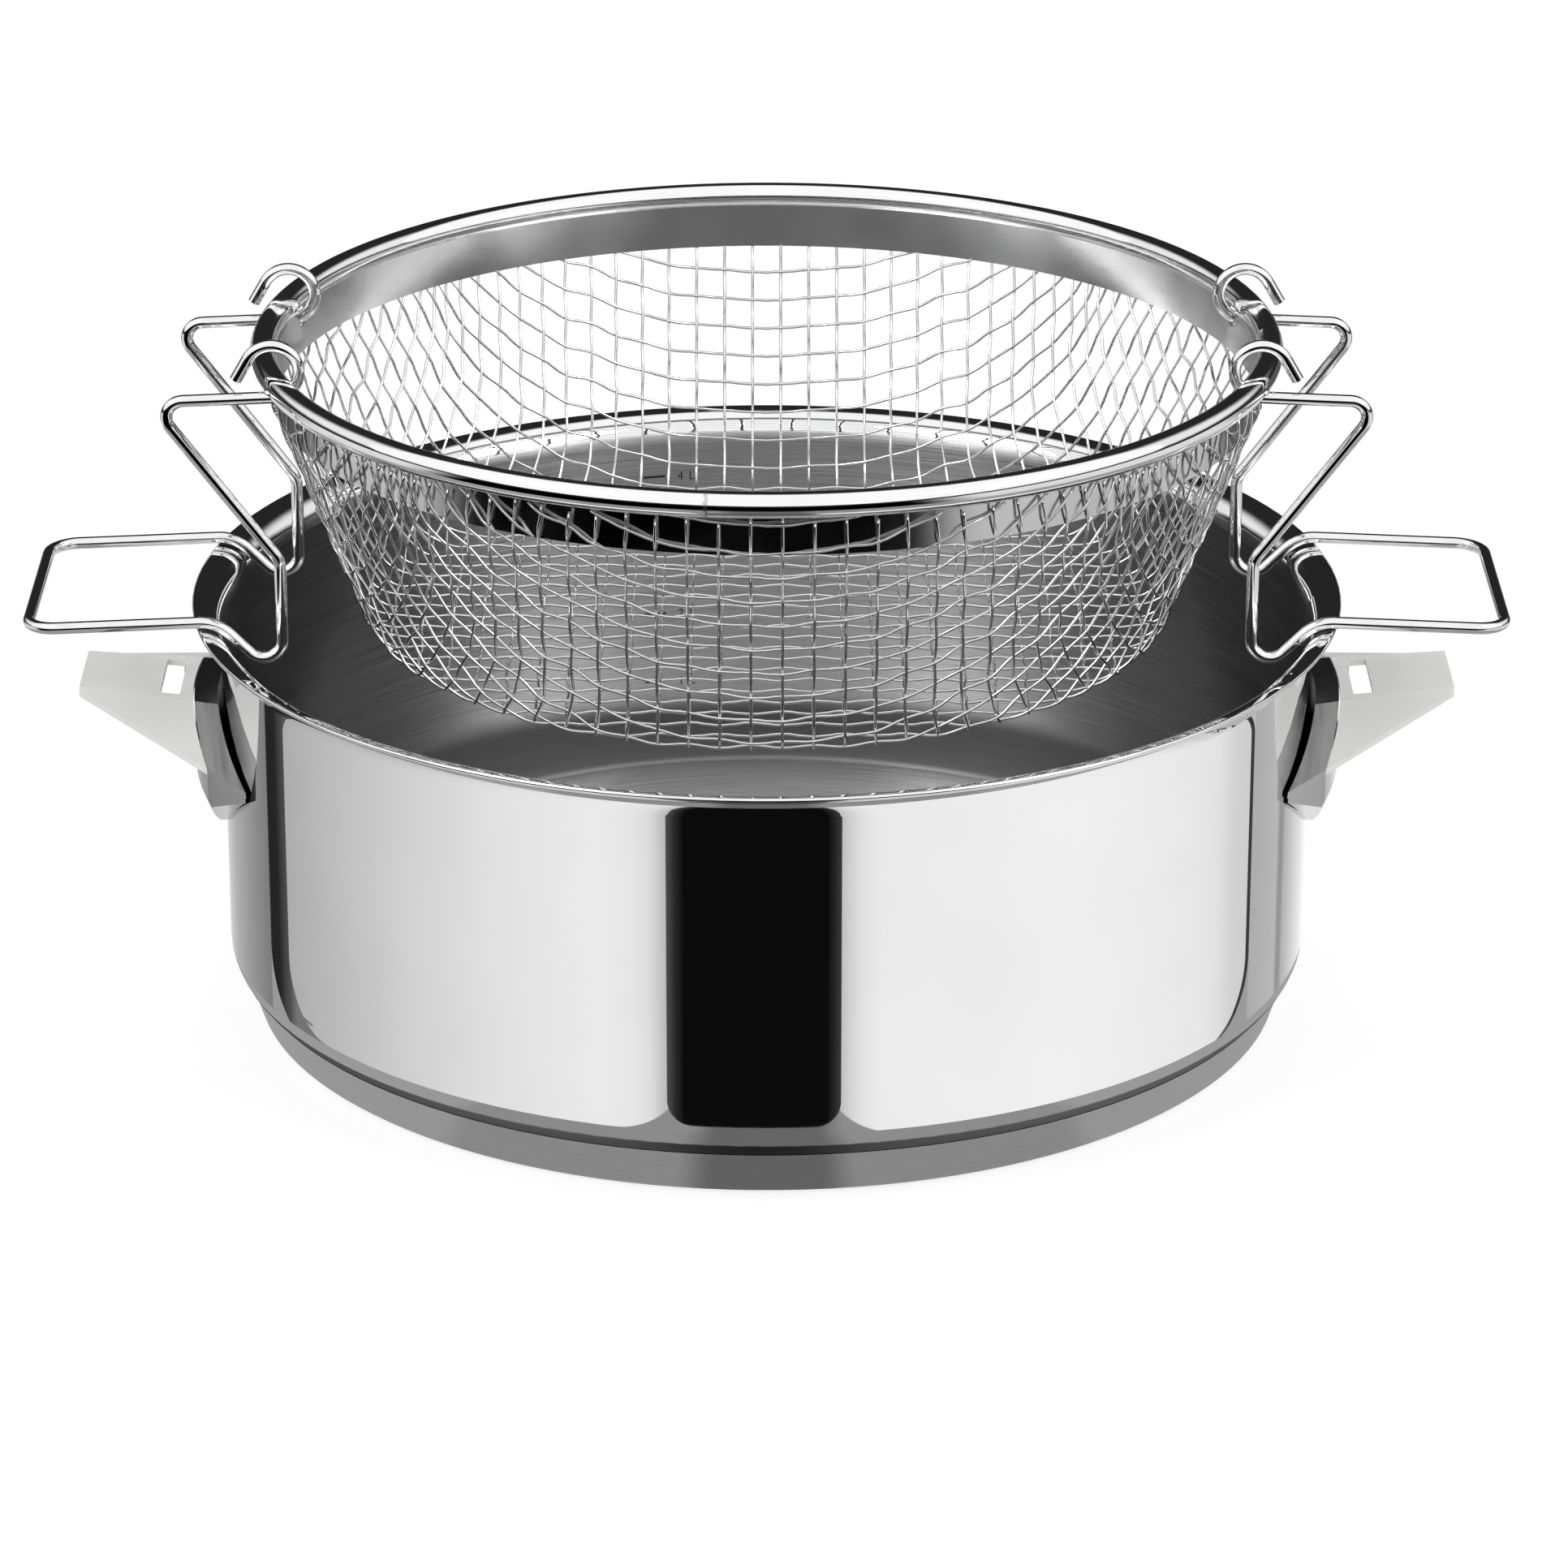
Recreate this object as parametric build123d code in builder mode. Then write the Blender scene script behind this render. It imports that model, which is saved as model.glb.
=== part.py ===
from build123d import *
import os
from math import sin, cos, tan, atan2, radians, sqrt, pi, hypot

# Saute pan with a lift-out frying basket, held in its draining position.
# Millimetres. The origin is the centre of the base's underside, Z is up and
# the handles stand along X.

# Pan bowl
pan_inner_radius = 129.8
wall_thickness = 1.2
pan_height = 102.3
lip_reach = 6.8
corner_radius = 8.0
base_plane = 9.5

# Encapsulated base: steel capsule round an aluminium disc
cap_step_in = 3.2
cap_taper = 3.6
cap_wall = 1.4
cap_floor = 1.0
cap_edge_radius = 1.0
joint_gap = 0.25

# Side handle wing: wide at the wall and narrow at the tip
wing_reach = 34.0
wing_overlap = 19.0
wing_tip_half_top = 12.0
wing_tip_half_lip = 12.9
wing_tip_top_z = 81.2
wing_tip_lip_z = 80.2
wing_root_half_top = 17.6
wing_root_half_lip = 56.2
wing_root_top_z = 75.8
wing_root_lip_z = 64.4
wing_edge = 1.5
wing_thickness = 1.4
grip_seam = 0.3
slot_offset = 3.0
slot_width = 4.8
slot_half_length = 11.2
slot_corner = 0.6

# Steel mount: a collar in line with the wing, a belly below it and a gap
# that opens upward between the collar and the wall
mount_depth = 7.0
belly_bottom_z = 48.3
belly_bottom_half = 17.0
belly_corner_half = 49.5
belly_corner_z = 66.4
belly_top_half = 20.0
belly_top_z = 74.0
belly_bend = 9.0
belly_inset = 0.7
belly_foot = 1.6
belly_shoulder_z = 62.0
gap_start_z = 57.0
gap_end_z = 90.0
gap_end_width = 2.2

# Pads of the grip, prongs of the mount below them, and their screws
pad_thickness = 2.6
pad_set_in = 1.0
pad_length = 5.3
prong_start = 1.8
prong_thickness = 2.6
prong_y = 20.0
prong_width = 6.6
seat_margin = 0.2
screw_shank_radius = 1.25
screw_hole_margin = 0.15
screw_reach = 4.0
screw_head_radius = 2.1
screw_head_height = 1.5
screw_head_edge = 0.3
drive_across = 2.0
drive_sides = 6
drive_depth = 0.9
washer_outer_radius = 2.3
washer_margin = 0.1
washer_thickness = 0.5

# Lug in a pocket of the mount's belly
lug_half_width = 8.0
lug_stand = 1.2
lug_thickness = 3.4
lug_bottom_z = 48.6
lug_top_z = 60.0
lug_corner = 2.6
lug_edge = 0.8

# Basket: ring, band and a net cup that narrows toward its floor
ring_path_radius = 119.1
ring_radius = 3.05
ring_height = 164.6
band_sheet = 0.6
band_depth = 12.6
band_seat_gap = 0.05
net_wall = 1.7
net_band_gap = 0.1
net_seat_gap = 0.4
net_taper = 21.95
net_depth = 57.0
net_corner = 9.5
net_bar = 3.0
net_rows = 4
net_columns = 44
floor_pitch = 14.0
floor_rim = 4.0

# Wire handles of the basket
wire_radius = 1.45
curl_radius = 6.3
curl_clearance = 0.08
curl_y = 30.0
tail_length = 6.0
tail_angle = 30.0
shoulder_reach = 28.6
shoulder_droop = 2.5
leg_set_in = 0.7
knee_drop = 40.5
rest_gap = 0.45
flank_angle = 45.0
grip_reach = 37.2
grip_droop = 1.9
shoulder_bend = 4.0
knee_bend = 6.0
dip_bend = 4.6
grip_bend = 7.0
wire_hole_margin = 1.25
wire_hole_rise = 0.7
wire_hole_length = 14.0

# Shares used to place midpoints, and the overrun of cuts
half_share = 0.5
overrun = 5.0

# Sizes that follow from the ones above
wall_outer_radius = pan_inner_radius + wall_thickness
lip_radius = wall_outer_radius + lip_reach
lip_round = wall_thickness * half_share
flare_centre_radius = lip_radius - lip_round
flare_under = flare_centre_radius - wall_outer_radius
flare_over = flare_under + wall_thickness
flare_z = pan_height - flare_over
cap_top_radius = wall_outer_radius - cap_step_in
cap_bottom_radius = cap_top_radius - cap_taper
wing_root_x = wall_outer_radius - wing_overlap
wing_tip_x = wall_outer_radius + wing_reach
mount_outer_radius = wall_outer_radius + mount_depth
grip_root_radius = mount_outer_radius + grip_seam
slot_inner_x = mount_outer_radius + slot_offset
slot_outer_x = slot_inner_x + slot_width
pad_inner_x = mount_outer_radius - pad_set_in
pad_outer_x = pad_inner_x + pad_length
screw_x = (pad_inner_x + pad_outer_x) * half_share
prong_inner_x = wall_outer_radius + prong_start
belly_foot_radius = wall_outer_radius + belly_foot
lug_inner_x = wall_outer_radius + lug_stand
lug_outer_x = lug_inner_x + lug_thickness
washer_inner_radius = screw_shank_radius + washer_margin
band_inner_radius = ring_path_radius - ring_radius
band_outer_radius = band_inner_radius + band_sheet
band_bottom_z = ring_height - band_depth
band_top_z = ring_height - sqrt(ring_radius ** 2 - (ring_radius - band_sheet) ** 2) - band_seat_gap
net_inner_radius = band_outer_radius + net_band_gap
net_outer_radius = net_inner_radius + net_wall
net_top_z = ring_height - ring_radius - net_seat_gap
net_floor_radius = net_outer_radius - net_taper
net_floor_z = band_bottom_z - net_depth
curl_x = sqrt(ring_path_radius ** 2 - curl_y ** 2)
curl_z = ring_height + curl_radius - wire_radius - ring_radius - curl_clearance
shoulder_x = curl_x + shoulder_reach
shoulder_z = curl_z - curl_radius
leg_x = curl_x - leg_set_in
knee_z = shoulder_z - knee_drop
grip_x = lip_radius + grip_reach
wire_hole_radius = wire_radius + wire_hole_margin
wire_hole_z = shoulder_z + wire_hole_rise


def wing_surface_z(x, y):
    """Height of the wing's upper side face at a place."""
    along = (x - wing_root_x) / (wing_tip_x - wing_root_x)
    half_top = wing_root_half_top + (wing_tip_half_top - wing_root_half_top) * along
    half_lip = wing_root_half_lip + (wing_tip_half_lip - wing_root_half_lip) * along
    top_z = wing_root_top_z + (wing_tip_top_z - wing_root_top_z) * along
    lip_z = wing_root_lip_z + (wing_tip_lip_z - wing_root_lip_z) * along
    return top_z - (top_z - lip_z) * (y - half_top) / (half_lip - half_top)


# Flat seats of the washers, just under the prongs' inner edges
prong_foot_drop = wing_thickness + pad_thickness + prong_thickness
seat_z = wing_surface_z(screw_x, prong_y - washer_outer_radius) - prong_foot_drop
screw_tip_z = seat_z + screw_reach


def body_corner_z(radius):
    """Height of the bowl's lower outer corner at a radius."""
    reach = radius - (wall_outer_radius - corner_radius)
    return base_plane + corner_radius - sqrt(corner_radius ** 2 - reach ** 2)


def ring_plane(x):
    """Section plane across a handle: local x is Y, local y is Z."""
    return Plane(origin=(x, 0, 0), x_dir=(0, 1, 0), z_dir=(1, 0, 0))


def wing_points(half_top, half_lip, top_z, lip_z, drop):
    """Outline of the wing in a plane across it."""
    foot = lip_z - wing_edge - drop
    return [
        (-half_lip, foot),
        (half_lip, foot),
        (half_lip, lip_z - drop),
        (half_top, top_z - drop),
        (-half_top, top_z - drop),
        (-half_lip, lip_z - drop),
    ]


def wing_solid(drop):
    """The full wing, lowered by a drop."""
    root = wing_points(wing_root_half_top, wing_root_half_lip, wing_root_top_z, wing_root_lip_z, drop)
    tip = wing_points(wing_tip_half_top, wing_tip_half_lip, wing_tip_top_z, wing_tip_lip_z, drop)
    with BuildPart() as wing:
        with BuildSketch(ring_plane(wing_root_x)):
            Polygon(*root, align=None)
        with BuildSketch(ring_plane(wing_tip_x)):
            Polygon(*tip, align=None)
        loft(ruled=True)
    return wing.part


def disc_solid(radius, height):
    """A disc about the pan's axis, from the base plane upward."""
    with BuildPart() as disc:
        with BuildSketch(Plane.XY):
            Circle(radius)
        extrude(amount=height)
    return disc.part


def block_solid(x_from, x_to, y_from, y_to, z_from, z_to):
    """A box given by its limits."""
    with BuildPart() as block:
        with Locations((x_from, y_from, z_from)):
            Box(x_to - x_from, y_to - y_from, z_to - z_from, align=(Align.MIN, Align.MIN, Align.MIN))
    return block.part


def bend_points(before, corner, after, radius):
    """Start, middle and end of the arc that rounds a corner of a wire."""
    into = (Vector(*before) - Vector(*corner)).normalized()
    out = (Vector(*after) - Vector(*corner)).normalized()
    half_angle = radians(into.get_angle(out)) * half_share
    setback = radius / tan(half_angle)
    start = Vector(*corner) + into * setback
    end = Vector(*corner) + out * setback
    toward = (into + out).normalized()
    middle = Vector(*corner) + toward * (radius / sin(half_angle) - radius)
    return start, middle, end


# Bowl: floor, rounded corner, wall and flared lip in one revolved sheet
with BuildPart() as pan_body:
    with BuildSketch(Plane.XZ):
        with BuildLine():
            corner_in = wall_outer_radius - corner_radius
            corner_z = base_plane + corner_radius
            inner_corner = corner_radius - wall_thickness
            Line((0, base_plane), (corner_in, base_plane))
            RadiusArc((corner_in, base_plane), (wall_outer_radius, corner_z), -corner_radius)
            Line((wall_outer_radius, corner_z), (wall_outer_radius, flare_z))
            RadiusArc(
                (wall_outer_radius, flare_z),
                (flare_centre_radius, flare_z + flare_under),
                flare_under,
            )
            ThreePointArc(
                (flare_centre_radius, flare_z + flare_under),
                (lip_radius, pan_height - lip_round),
                (flare_centre_radius, pan_height),
            )
            RadiusArc(
                (flare_centre_radius, pan_height),
                (pan_inner_radius, flare_z),
                -flare_over,
            )
            Line((pan_inner_radius, flare_z), (pan_inner_radius, corner_z))
            RadiusArc(
                (pan_inner_radius, corner_z),
                (corner_in, base_plane + wall_thickness),
                inner_corner,
            )
            Line((corner_in, base_plane + wall_thickness), (0, base_plane + wall_thickness))
            Line((0, base_plane + wall_thickness), (0, base_plane))
        make_face()
    revolve(axis=Axis.Z)

# Capsule and core of the base; the capsule's edge follows the bowl's corner
cap_inner_top = cap_top_radius - cap_wall
cap_inner_z = body_corner_z(cap_inner_top) - joint_gap
cap_outer_z = body_corner_z(cap_top_radius) - joint_gap
cap_slope = (cap_top_radius - cap_bottom_radius) / cap_outer_z
core_bottom_radius = cap_bottom_radius - cap_wall + cap_slope * cap_floor
core_top_radius = cap_bottom_radius - cap_wall + cap_slope * base_plane

with BuildPart() as base_cap:
    with BuildSketch(Plane.XZ):
        with BuildLine():
            Polyline(
                (0, 0),
                (cap_bottom_radius - cap_edge_radius, 0),
                (cap_bottom_radius + cap_slope * cap_edge_radius, cap_edge_radius),
                (cap_top_radius, cap_outer_z),
                (cap_inner_top, cap_inner_z),
                (core_top_radius, base_plane),
                (core_bottom_radius, cap_floor),
                (0, cap_floor),
                (0, 0),
            )
        make_face()
    revolve(axis=Axis.Z)

with BuildPart() as base_core:
    with BuildSketch(Plane.XZ):
        with BuildLine():
            Polyline(
                (0, cap_floor),
                (core_bottom_radius, cap_floor),
                (core_top_radius, base_plane),
                (0, base_plane),
                (0, cap_floor),
            )
        make_face()
    revolve(axis=Axis.Z)

# Parts of the right-hand handle; the left-hand ones are their mirror images
wing_full = wing_solid(0)
wing_inside = wing_solid(wing_thickness)
wing_below_pad = wing_solid(wing_thickness + pad_thickness)
wing_below_prong = wing_solid(wing_thickness + pad_thickness + prong_thickness)
root_cut = disc_solid(grip_root_radius, pan_height)
mount_limit = disc_solid(mount_outer_radius, pan_height)
wall_cut = disc_solid(wall_outer_radius, pan_height)
prong_sides = (-prong_y, prong_y)
half_prong = prong_width * half_share
washer_top = seat_z
washer_bottom = seat_z - washer_thickness
head_bottom = washer_bottom - screw_head_height

with BuildPart() as pads:
    for side in prong_sides:
        add(block_solid(pad_inner_x, pad_outer_x, side - half_prong, side + half_prong, 0, pan_height))
    add(wing_inside, mode=Mode.INTERSECT)
    add(wing_below_pad, mode=Mode.SUBTRACT)

with BuildPart() as right_grip:
    add(wing_full)
    add(wing_inside, mode=Mode.SUBTRACT)
    add(pads.part)
    add(root_cut, mode=Mode.SUBTRACT)
    with BuildSketch(Plane.XY):
        with Locations(((slot_inner_x + slot_outer_x) * half_share, 0)):
            RectangleRounded(slot_outer_x - slot_inner_x, slot_half_length / half_share, slot_corner)
    extrude(amount=pan_height, mode=Mode.SUBTRACT)
    with BuildSketch(Plane.XY.offset(seat_z)):
        for side in prong_sides:
            with Locations((screw_x, side)):
                Circle(screw_shank_radius)
    extrude(amount=screw_tip_z - seat_z, mode=Mode.SUBTRACT)

with BuildPart() as belly:
    with BuildSketch(ring_plane(wing_root_x)) as belly_outline:
        Polygon(
            (-belly_corner_half, belly_corner_z),
            (-belly_top_half, belly_top_z),
            (belly_top_half, belly_top_z),
            (belly_corner_half, belly_corner_z),
            (belly_bottom_half, belly_bottom_z),
            (-belly_bottom_half, belly_bottom_z),
            align=None,
        )
        fillet(belly_outline.vertices().group_by(Axis.Y)[0], belly_bend)
    extrude(amount=mount_outer_radius - wing_root_x + overrun)
    with BuildSketch(Plane.XY) as plan_outline:
        Polygon(
            (wing_root_x, wing_root_half_lip - belly_inset),
            (wing_root_x, belly_inset - wing_root_half_lip),
            (wing_tip_x, belly_inset - wing_tip_half_lip),
            (wing_tip_x, wing_tip_half_lip - belly_inset),
            align=None,
        )
    extrude(amount=pan_height, mode=Mode.INTERSECT)

with BuildPart() as prongs:
    for side in prong_sides:
        add(block_solid(prong_inner_x, pad_outer_x, side - half_prong, side + half_prong, 0, pan_height))
    add(wing_below_pad, mode=Mode.INTERSECT)
    add(wing_below_prong, mode=Mode.SUBTRACT)

with BuildPart() as right_mount:
    add(wing_full)
    add(belly.part)
    add(mount_limit, mode=Mode.INTERSECT)
    add(wall_cut, mode=Mode.SUBTRACT)
    add(prongs.part)
    # the belly thins toward its foot
    with BuildSketch(Plane.XZ):
        with BuildLine():
            Polyline(
                (belly_foot_radius, belly_bottom_z),
                (mount_outer_radius, belly_shoulder_z),
                (mount_outer_radius + overrun, belly_shoulder_z),
                (mount_outer_radius + overrun, belly_bottom_z),
                (belly_foot_radius, belly_bottom_z),
            )
        make_face()
    revolve(axis=Axis.Z, mode=Mode.SUBTRACT)
    # the gap that opens upward beside the wall
    with BuildSketch(Plane.XZ):
        with BuildLine():
            Polyline(
                (wall_outer_radius - overrun, gap_start_z),
                (wall_outer_radius, gap_start_z),
                (wall_outer_radius + gap_end_width, gap_end_z),
                (wall_outer_radius - overrun, gap_end_z),
                (wall_outer_radius - overrun, gap_start_z),
            )
        make_face()
    revolve(axis=Axis.Z, mode=Mode.SUBTRACT)
    # pocket of the lug
    with BuildSketch(Plane.XY):
        with BuildLine():
            Polyline(
                (lug_inner_x, -lug_half_width),
                (lug_inner_x, lug_half_width),
                (mount_outer_radius + overrun, lug_half_width),
                (mount_outer_radius + overrun, -lug_half_width),
                (lug_inner_x, -lug_half_width),
            )
        make_face()
    extrude(amount=lug_top_z, mode=Mode.SUBTRACT)
    # screw holes and flat seats in the prongs
    with BuildSketch(Plane.XY.offset(seat_z)):
        for side in prong_sides:
            with Locations((screw_x, side)):
                Circle(screw_shank_radius + screw_hole_margin)
    extrude(amount=pan_height - seat_z, mode=Mode.SUBTRACT)
    with BuildSketch(Plane.XY.offset(seat_z)):
        for side in prong_sides:
            with Locations((screw_x, side)):
                Circle(washer_outer_radius + seat_margin)
    extrude(amount=-seat_z, mode=Mode.SUBTRACT)

with BuildPart() as right_lug:
    with BuildSketch(ring_plane(lug_inner_x)) as lug_outline:
        Polygon(
            (-lug_half_width, lug_bottom_z),
            (lug_half_width, lug_bottom_z),
            (lug_half_width, lug_top_z),
            (-lug_half_width, lug_top_z),
            align=None,
        )
        fillet(lug_outline.vertices().group_by(Axis.Y)[0], lug_corner)
    extrude(amount=lug_outer_x - lug_inner_x)
    chamfer(right_lug.faces().sort_by(Axis.X)[-1].edges(), lug_edge)

with BuildPart() as right_grip_screws:
    for side in prong_sides:
        with BuildSketch(Plane.XY.offset(head_bottom)):
            with Locations((screw_x, side)):
                Circle(screw_head_radius)
        extrude(amount=screw_head_height)
    chamfer(right_grip_screws.faces().group_by(Axis.Z)[0].edges(), screw_head_edge)
    for side in prong_sides:
        with BuildSketch(Plane.XY.offset(washer_bottom)):
            with Locations((screw_x, side)):
                Circle(screw_shank_radius)
        extrude(amount=screw_tip_z - washer_bottom)
        with BuildSketch(Plane.XY.offset(head_bottom)):
            with Locations((screw_x, side)):
                RegularPolygon(drive_across * half_share, drive_sides, major_radius=False)
        extrude(amount=drive_depth, mode=Mode.SUBTRACT)

with BuildPart() as right_grip_washers:
    with BuildSketch(Plane.XY.offset(washer_bottom)):
        for side in prong_sides:
            with Locations((screw_x, side)):
                Circle(washer_outer_radius)
                Circle(washer_inner_radius, mode=Mode.SUBTRACT)
    extrude(amount=washer_thickness)

# Basket ring, and the band whose upper edge seats in the ring's inner flank
with BuildPart() as hole_cutters:
    with BuildSketch(ring_plane(curl_x - wire_hole_length * half_share)):
        for side in (-curl_y, curl_y):
            with Locations((side, wire_hole_z)):
                Circle(wire_hole_radius)
    extrude(amount=wire_hole_length)
    mirror(about=Plane.YZ)

with BuildPart() as rim_ring:
    with BuildSketch(Plane.XZ):
        with Locations((ring_path_radius, ring_height)):
            Circle(ring_radius)
    revolve(axis=Axis.Z)

with BuildPart() as rim_band:
    with BuildSketch(Plane.XY.offset(band_bottom_z)):
        Circle(band_outer_radius)
        Circle(band_inner_radius, mode=Mode.SUBTRACT)
    extrude(amount=band_top_z - band_bottom_z)
    add(hole_cutters.part, mode=Mode.SUBTRACT)

# Net cup: a sheet as thick as two crossing wires, with square gaps
net_slant = sqrt(net_taper ** 2 + net_depth ** 2)
net_lean = atan2(net_taper, net_depth)
net_fold = net_corner * tan((pi * half_share - net_lean) * half_share)
net_row_pitch = (net_slant - net_fold) / net_rows

floor_count = int(net_floor_radius / half_share / floor_pitch)
floor_gap = floor_pitch - net_bar
floor_reach = net_floor_radius - net_fold - floor_rim


def wall_gap(row):
    """Cutter for one gap of a row in the cup's wall, counted from the floor."""
    up_slant = net_fold + net_row_pitch * (row + half_share)
    gap_radius = net_floor_radius + up_slant * sin(net_lean)
    gap_z = net_floor_z + up_slant * cos(net_lean)
    gap_width = pi * gap_radius / half_share / net_columns - net_bar
    gap_plane = Plane(
        origin=(gap_radius, 0, gap_z),
        x_dir=(0, 1, 0),
        z_dir=(cos(net_lean), 0, -sin(net_lean)),
    )
    with BuildPart() as gap:
        with BuildSketch(gap_plane):
            Rectangle(gap_width, net_row_pitch - net_bar)
        extrude(amount=overrun, both=True)
    return gap.part


def floor_spots():
    """Places of the floor's gaps; the outer ones are cut short by its rim."""
    grid = GridLocations(floor_pitch, floor_pitch, floor_count, floor_count)
    return [spot for spot in grid if hypot(spot.position.X, spot.position.Y) < floor_reach]


with BuildPart() as basket_net:
    with BuildSketch(Plane.XZ) as net_profile:
        with BuildLine():
            Polyline(
                (0, net_floor_z),
                (net_floor_radius, net_floor_z),
                (net_outer_radius, band_bottom_z),
                (net_outer_radius, net_top_z),
                (net_inner_radius, net_top_z),
                (net_inner_radius, band_bottom_z),
                (net_floor_radius - net_wall, net_floor_z + net_wall),
                (0, net_floor_z + net_wall),
                (0, net_floor_z),
            )
        make_face()
        outer_mark = (net_floor_radius, net_floor_z, 0)
        outer_bend = net_profile.vertices().sort_by_distance(outer_mark)[0]
        fillet(outer_bend, net_corner)
        inner_mark = (net_floor_radius - net_wall, net_floor_z + net_wall, 0)
        inner_bend = net_profile.vertices().sort_by_distance(inner_mark)[0]
        fillet(inner_bend, net_corner - net_wall)
    revolve(axis=Axis.Z)
    add(hole_cutters.part, mode=Mode.SUBTRACT)
    for row in range(net_rows):
        with PolarLocations(0, net_columns):
            add(wall_gap(row), mode=Mode.SUBTRACT)
    with BuildSketch(Plane.XY.offset(net_floor_z - overrun)):
        with Locations(*floor_spots()):
            Rectangle(floor_gap, floor_gap)
        Circle(floor_reach, mode=Mode.INTERSECT)
    extrude(amount=overrun / half_share, mode=Mode.SUBTRACT)

# Wire handle: curl round the ring, shoulder, leg, dip over the lip and grip
lip_centre_x = sqrt(flare_centre_radius ** 2 - curl_y ** 2)
hook_bend = flare_over + wire_radius + rest_gap
grip_start_z = flare_z + hook_bend
hook_x = lip_centre_x - hook_bend * tan(radians(flank_angle) * half_share)
dip_z = grip_start_z - (hook_x - leg_x) * tan(radians(flank_angle))


def curl_point(angle, side):
    """Point on the curl's circle at an angle above the outward direction."""
    turn = radians(angle)
    return Vector(curl_x + curl_radius * cos(turn), side, curl_z + curl_radius * sin(turn))


curl_start = tail_angle
curl_end = 270.0 - shoulder_droop
curl_middle = (curl_start + curl_end) * half_share
curl_quarter = (curl_start + curl_middle) * half_share
curl_three_quarter = (curl_middle + curl_end) * half_share
tail_step = Vector(sin(radians(tail_angle)), 0, -cos(radians(tail_angle))) * tail_length
grip_end_z = grip_start_z - grip_droop
curl_end_x = curl_x + curl_radius * cos(radians(curl_end))
curl_end_z = curl_z + curl_radius * sin(radians(curl_end))
shoulder_low_z = curl_end_z - (shoulder_x - curl_end_x) * tan(radians(shoulder_droop))

wire_corners = [
    ((curl_end_x, -curl_y, curl_end_z), 0),
    ((shoulder_x, -curl_y, shoulder_low_z), shoulder_bend),
    ((leg_x, -curl_y, knee_z), knee_bend),
    ((leg_x, -curl_y, dip_z), dip_bend),
    ((hook_x, -curl_y, grip_start_z), hook_bend),
    ((grip_x, -curl_y, grip_end_z), grip_bend),
    ((grip_x, curl_y, grip_end_z), grip_bend),
    ((hook_x, curl_y, grip_start_z), hook_bend),
    ((leg_x, curl_y, dip_z), dip_bend),
    ((leg_x, curl_y, knee_z), knee_bend),
    ((shoulder_x, curl_y, shoulder_low_z), shoulder_bend),
    ((curl_end_x, curl_y, curl_end_z), 0),
]

with BuildPart() as right_wire_handle:
    with BuildLine() as wire_path:
        near, far = -curl_y, curl_y
        Line(curl_point(curl_start, near) + tail_step, curl_point(curl_start, near))
        ThreePointArc(
            curl_point(curl_start, near), curl_point(curl_quarter, near), curl_point(curl_middle, near)
        )
        ThreePointArc(
            curl_point(curl_middle, near), curl_point(curl_three_quarter, near), curl_point(curl_end, near)
        )
        reached = Vector(*wire_corners[0][0])
        for before, this, after in zip(wire_corners, wire_corners[1:], wire_corners[2:]):
            start, middle, end = bend_points(before[0], this[0], after[0], this[1])
            Line(reached, start)
            ThreePointArc(start, middle, end)
            reached = end
        Line(reached, wire_corners[-1][0])
        ThreePointArc(
            curl_point(curl_end, far), curl_point(curl_three_quarter, far), curl_point(curl_middle, far)
        )
        ThreePointArc(
            curl_point(curl_middle, far), curl_point(curl_quarter, far), curl_point(curl_start, far)
        )
        Line(curl_point(curl_start, far), curl_point(curl_start, far) + tail_step)
    with BuildSketch(Plane(origin=wire_path.line @ 0, z_dir=wire_path.line % 0)):
        Circle(wire_radius)
    sweep(path=wire_path.line)

# Left-hand pieces
with BuildPart() as left_grip:
    mirror(right_grip.part, about=Plane.YZ)
with BuildPart() as left_mount:
    mirror(right_mount.part, about=Plane.YZ)
with BuildPart() as left_lug:
    mirror(right_lug.part, about=Plane.YZ)
with BuildPart() as left_grip_screws:
    mirror(right_grip_screws.part, about=Plane.YZ)
with BuildPart() as left_grip_washers:
    mirror(right_grip_washers.part, about=Plane.YZ)
with BuildPart() as left_wire_handle:
    mirror(right_wire_handle.part, about=Plane.YZ)

os.makedirs("parts", exist_ok=True)
pan_body.part.label = "pan_body"
export_step(pan_body.part, "parts/pan_body.step")
base_cap.part.label = "base_cap"
export_step(base_cap.part, "parts/base_cap.step")
base_core.part.label = "base_core"
export_step(base_core.part, "parts/base_core.step")
left_mount.part.label = "left_mount"
export_step(left_mount.part, "parts/left_mount.step")
right_mount.part.label = "right_mount"
export_step(right_mount.part, "parts/right_mount.step")
left_grip.part.label = "left_grip"
export_step(left_grip.part, "parts/left_grip.step")
right_grip.part.label = "right_grip"
export_step(right_grip.part, "parts/right_grip.step")
left_lug.part.label = "left_lug"
export_step(left_lug.part, "parts/left_lug.step")
right_lug.part.label = "right_lug"
export_step(right_lug.part, "parts/right_lug.step")
left_grip_screws.part.label = "left_grip_screws"
export_step(left_grip_screws.part, "parts/left_grip_screws.step")
right_grip_screws.part.label = "right_grip_screws"
export_step(right_grip_screws.part, "parts/right_grip_screws.step")
left_grip_washers.part.label = "left_grip_washers"
export_step(left_grip_washers.part, "parts/left_grip_washers.step")
right_grip_washers.part.label = "right_grip_washers"
export_step(right_grip_washers.part, "parts/right_grip_washers.step")
rim_band.part.label = "rim_band"
export_step(rim_band.part, "parts/rim_band.step")
rim_ring.part.label = "rim_ring"
export_step(rim_ring.part, "parts/rim_ring.step")
basket_net.part.label = "basket_net"
export_step(basket_net.part, "parts/basket_net.step")
left_wire_handle.part.label = "left_wire_handle"
export_step(left_wire_handle.part, "parts/left_wire_handle.step")
right_wire_handle.part.label = "right_wire_handle"
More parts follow.
